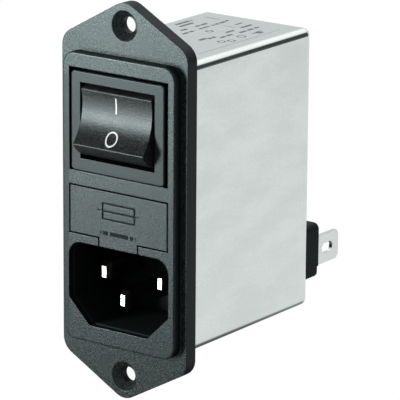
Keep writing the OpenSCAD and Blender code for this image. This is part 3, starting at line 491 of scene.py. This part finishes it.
# the other nodes, by the material that the record gives them
SLOT_FINISH = {
    "plated_brass": metal("plated_brass_finish", NICKEL, NICKEL_CLOUD, roughness=0.2, lines=0.4,
                          edge=0.12),
    "bare_brass": metal("bare_brass_finish", (0.74, 0.54, 0.24), (0.62, 0.43, 0.18),
                        roughness=0.28, lines=0.5),
    "silver_contact": metal("silver_contact_finish", (0.86, 0.85, 0.82), (0.74, 0.73, 0.70),
                            roughness=0.2, lines=0.3),
    "spring_steel": metal("spring_steel_finish", (0.56, 0.56, 0.55), (0.42, 0.42, 0.42),
                          roughness=0.26, lines=0.4),
    "fuse_glass": glass_finish(),
    "enamelled_wire": wound_wire_finish(),
    "board_laminate": moulded_plastic(
        "board_laminate_finish", (0.045, 0.14, 0.06), (0.07, 0.2, 0.09), speck_amount=0.5,
        roughness=0.35, spread=0.08, pit=0.9, depth=0.01, level=0.5),
    "ferrite": moulded_plastic(
        "ferrite_finish", (0.035, 0.038, 0.042), (0.07, 0.073, 0.078), speck_amount=0.4,
        roughness=0.55, spread=0.1, pit=0.35, depth=0.015, level=0.4),
    "cream_plastic": moulded_plastic(
        "cream_plastic_finish", (0.62, 0.54, 0.40), (0.70, 0.62, 0.48), speck_amount=0.4,
        roughness=0.5, spread=0.08, pit=0.4, depth=0.008, level=0.4),
    "yellow_plastic": moulded_plastic(
        "yellow_plastic_finish", (0.66, 0.44, 0.06), (0.74, 0.52, 0.1), speck_amount=0.3,
        roughness=0.35, spread=0.06, pit=0.5, depth=0.006, level=0.5),
    "blue_plastic": moulded_plastic(
        "blue_plastic_finish", (0.05, 0.14, 0.36), (0.07, 0.19, 0.44), speck_amount=0.3,
        roughness=0.3, spread=0.08, pit=0.5, depth=0.01, level=0.5),
    "resistor_ceramic": moulded_plastic(
        "resistor_ceramic_finish", (0.55, 0.46, 0.30), (0.62, 0.53, 0.37), speck_amount=0.3,
        roughness=0.35, spread=0.06, pit=0.4, depth=0.006, level=0.5),
    "red_plastic": moulded_plastic(
        "red_plastic_finish", (0.42, 0.03, 0.02), (0.5, 0.05, 0.04), speck_amount=0.3,
        roughness=0.4, spread=0.06, pit=0.4, depth=0.006, level=0.5),
    "insulating_paper": moulded_plastic(
        "insulating_paper_finish", (0.6, 0.52, 0.38), (0.52, 0.44, 0.31), speck_amount=0.5,
        roughness=0.7, spread=0.1, pit=0.8, depth=0.02, level=0.3),
}

for name, piece in NODE.items():
    for slot in piece.material_slots:
        finish = NODE_FINISH.get(name) or SLOT_FINISH.get(slot.material.name.split(".")[0])
        if finish:
            slot.material = finish


# ---------------------------------------------------------------- studio

FLOOR_Z = -0.13
FLOOR_GLOW = 0.76  # how bright the floor shows in shiny surfaces


def flag_bearing(g, x, y):
    """Where a dark flag shows behind the right side, by its bearing from +Y to +X; the flag is
    painted into the world and the floor and shows only in reflections.

    The can's rounded edges pick it up as a dark line.
    """
    turn = g.math("ARCTAN2", x, y)
    return g.times(g.ramp(turn, 0.40, 0.52), g.ramp(turn, 0.85, 1.05, 1.0, 0.0))


def make_floor():
    """Wide plain floor below the module, which hangs by its panel screws."""
    bpy.ops.object.select_all(action="DESELECT")
    bpy.ops.mesh.primitive_plane_add(size=6.0, location=(0, 0, FLOOR_Z))
    floor = bpy.context.object
    floor.name = "studio_floor"
    material, g, shader = start_material("studio_floor_paint", Roughness=0.7)
    tone = g.noise(g.place(), 6.0, 2.0, 0.5)
    g.link(g.blend(tone, (0.88, 0.88, 0.88), (0.92, 0.92, 0.92)), shader.inputs["Base Color"])

    # white to the eye; in reflections, painted shade under the module, dark before it and where a
    # dark flag is painted in behind the right, bright elsewhere behind
    ray = g.node("ShaderNodeLightPath").outputs
    x, y, _ = g.split(g.place())
    away = g.math("SQRT", g.math("ADD", g.times(x, x), g.times(y, y)))
    # painted dark flag, seen only in reflections
    flag = g.times(flag_bearing(g, x, y), g.ramp(away, 0.78, 1.0))
    # painted shade: the floor's reflections darken near and in front of the module
    lit = g.times(g.ramp(away, 0.14, 0.26, 0.1, 1.0), g.ramp(y, -0.26, -0.04, 0.1, 1.0),
                  FLOOR_GLOW, g.ramp(flag, 0.0, 1.0, 1.0, 0.1))
    reflected = g.blend(lit, (0, 0, 0), (1, 1, 1))
    glow = g.node("ShaderNodeEmission")
    glow.inputs["Strength"].default_value = 1.08
    g.link(g.blend(ray["Is Glossy Ray"], (1, 1, 1), reflected), glow.inputs["Color"])
    seen = g.either([ray["Is Camera Ray"], ray["Is Glossy Ray"], ray["Is Transmission Ray"]])
    painted = g.node("ShaderNodeMixShader")
    g.link(g.times(seen, 0.9), painted.inputs[0])
    g.link(shader.outputs[0], painted.inputs[1])
    g.link(glow.outputs[0], painted.inputs[2])

    # the underside is clear, so that the module is also seen from below
    clear = g.node("ShaderNodeMixShader")
    g.link(g.node("ShaderNodeNewGeometry").outputs["Backfacing"], clear.inputs[0])
    g.link(painted.outputs[0], clear.inputs[1])
    g.link(g.node("ShaderNodeBsdfTransparent").outputs[0], clear.inputs[2])
    g.link(clear.outputs[0], g.tree.nodes["Material Output"].inputs["Surface"])
    floor.data.materials.append(material)


def make_world():
    """White to the eye, a soft grey room in reflections, dimmer as light on matt surfaces."""
    world = bpy.data.worlds.new("studio_world")
    SCENE.world = world
    world.use_nodes = True
    g = Graph(world.node_tree)
    ray = g.node("ShaderNodeLightPath").outputs
    x, y, z = g.split(g.node("ShaderNodeTexCoord").outputs["Generated"])
    overhead = g.ramp(z, 0.32, 0.62)
    front = g.ramp(y, -0.35, -0.05, 1.0, 0.0)
    front_left = g.times(front, g.ramp(x, -0.35, -0.05, 1.0, 0.0))
    flag = g.times(flag_bearing(g, x, y), g.ramp(z, 0.36, 0.46, 1.0, 0.0))
    reflected = g.blend(overhead, (0.63, 0.65, 0.65), (1.12, 1.12, 1.12))
    reflected = g.blend(front, reflected, (0.30, 0.31, 0.31))
    reflected = g.blend(front_left, reflected, (0.05, 0.055, 0.055))
    reflected = g.blend(flag, reflected, (0.04, 0.045, 0.045))
    seen = g.math("MAXIMUM", ray["Is Camera Ray"], ray["Is Transmission Ray"])
    shown = g.blend(ray["Is Glossy Ray"], (0.26, 0.27, 0.28), reflected)
    g.link(g.blend(seen, shown, (1, 1, 1)), g.tree.nodes["Background"].inputs["Color"])


SWITCH_CENTRE = (0, -0.005, 0.016)


def softbox(name, place, size, watts):
    """Rectangular soft light aimed at the middle of the switch."""
    data = bpy.data.lights.new(name, "AREA")
    data.shape = "RECTANGLE"
    data.size, data.size_y = size
    data.energy = watts
    lamp = bpy.data.objects.new(name, data)
    SCENE.collection.objects.link(lamp)
    lamp.location = place
    lamp.rotation_euler = (Vector(SWITCH_CENTRE) - Vector(place)).to_track_quat("-Z", "Y").to_euler()


CAMERA_AZIMUTH, CAMERA_ELEVATION, CAMERA_ROLL = (math.radians(a) for a in (36.204, 15.632, 0.386))
CAMERA_LENS = 289.96
CAMERA_DISTANCE = 637.722 * MM
PLATE_FACE = Vector((0, -3, 0)) * MM
# the camera stands this far right of and above its line to the middle of the plate
CAMERA_ACROSS, CAMERA_ABOVE = 14.989 * MM, 0.764 * MM


def make_camera():
    """Long-lens view from the front right and a little above."""
    data = bpy.data.cameras.new("product_camera")
    data.sensor_width = 36.0
    data.lens = CAMERA_LENS
    data.clip_start, data.clip_end = 0.01, 20.0
    camera = bpy.data.objects.new("product_camera", data)
    SCENE.collection.objects.link(camera)
    flat = math.cos(CAMERA_ELEVATION)
    back = Vector((math.sin(CAMERA_AZIMUTH) * flat, -math.cos(CAMERA_AZIMUTH) * flat,
                   math.sin(CAMERA_ELEVATION)))
    right = (-back).cross(Vector((0, 0, 1))).normalized()
    up = right.cross(-back)
    across = right * math.cos(CAMERA_ROLL) + up * math.sin(CAMERA_ROLL)
    above = up * math.cos(CAMERA_ROLL) - right * math.sin(CAMERA_ROLL)
    place = PLATE_FACE + back * CAMERA_DISTANCE + across * CAMERA_ACROSS + above * CAMERA_ABOVE
    turn = Matrix((across, above, back)).transposed().to_4x4()
    camera.matrix_world = Matrix.Translation(place) @ turn
    SCENE.camera = camera


make_camera()
make_world()
make_floor()
softbox("key_softbox", (-0.184, -0.241, 0.044), (0.06, 0.086), 0.82)
softbox("low_softbox", (-0.176, -0.239, -0.046), (0.06, 0.112), 0.245)

SCENE.view_settings.view_transform = "Standard"
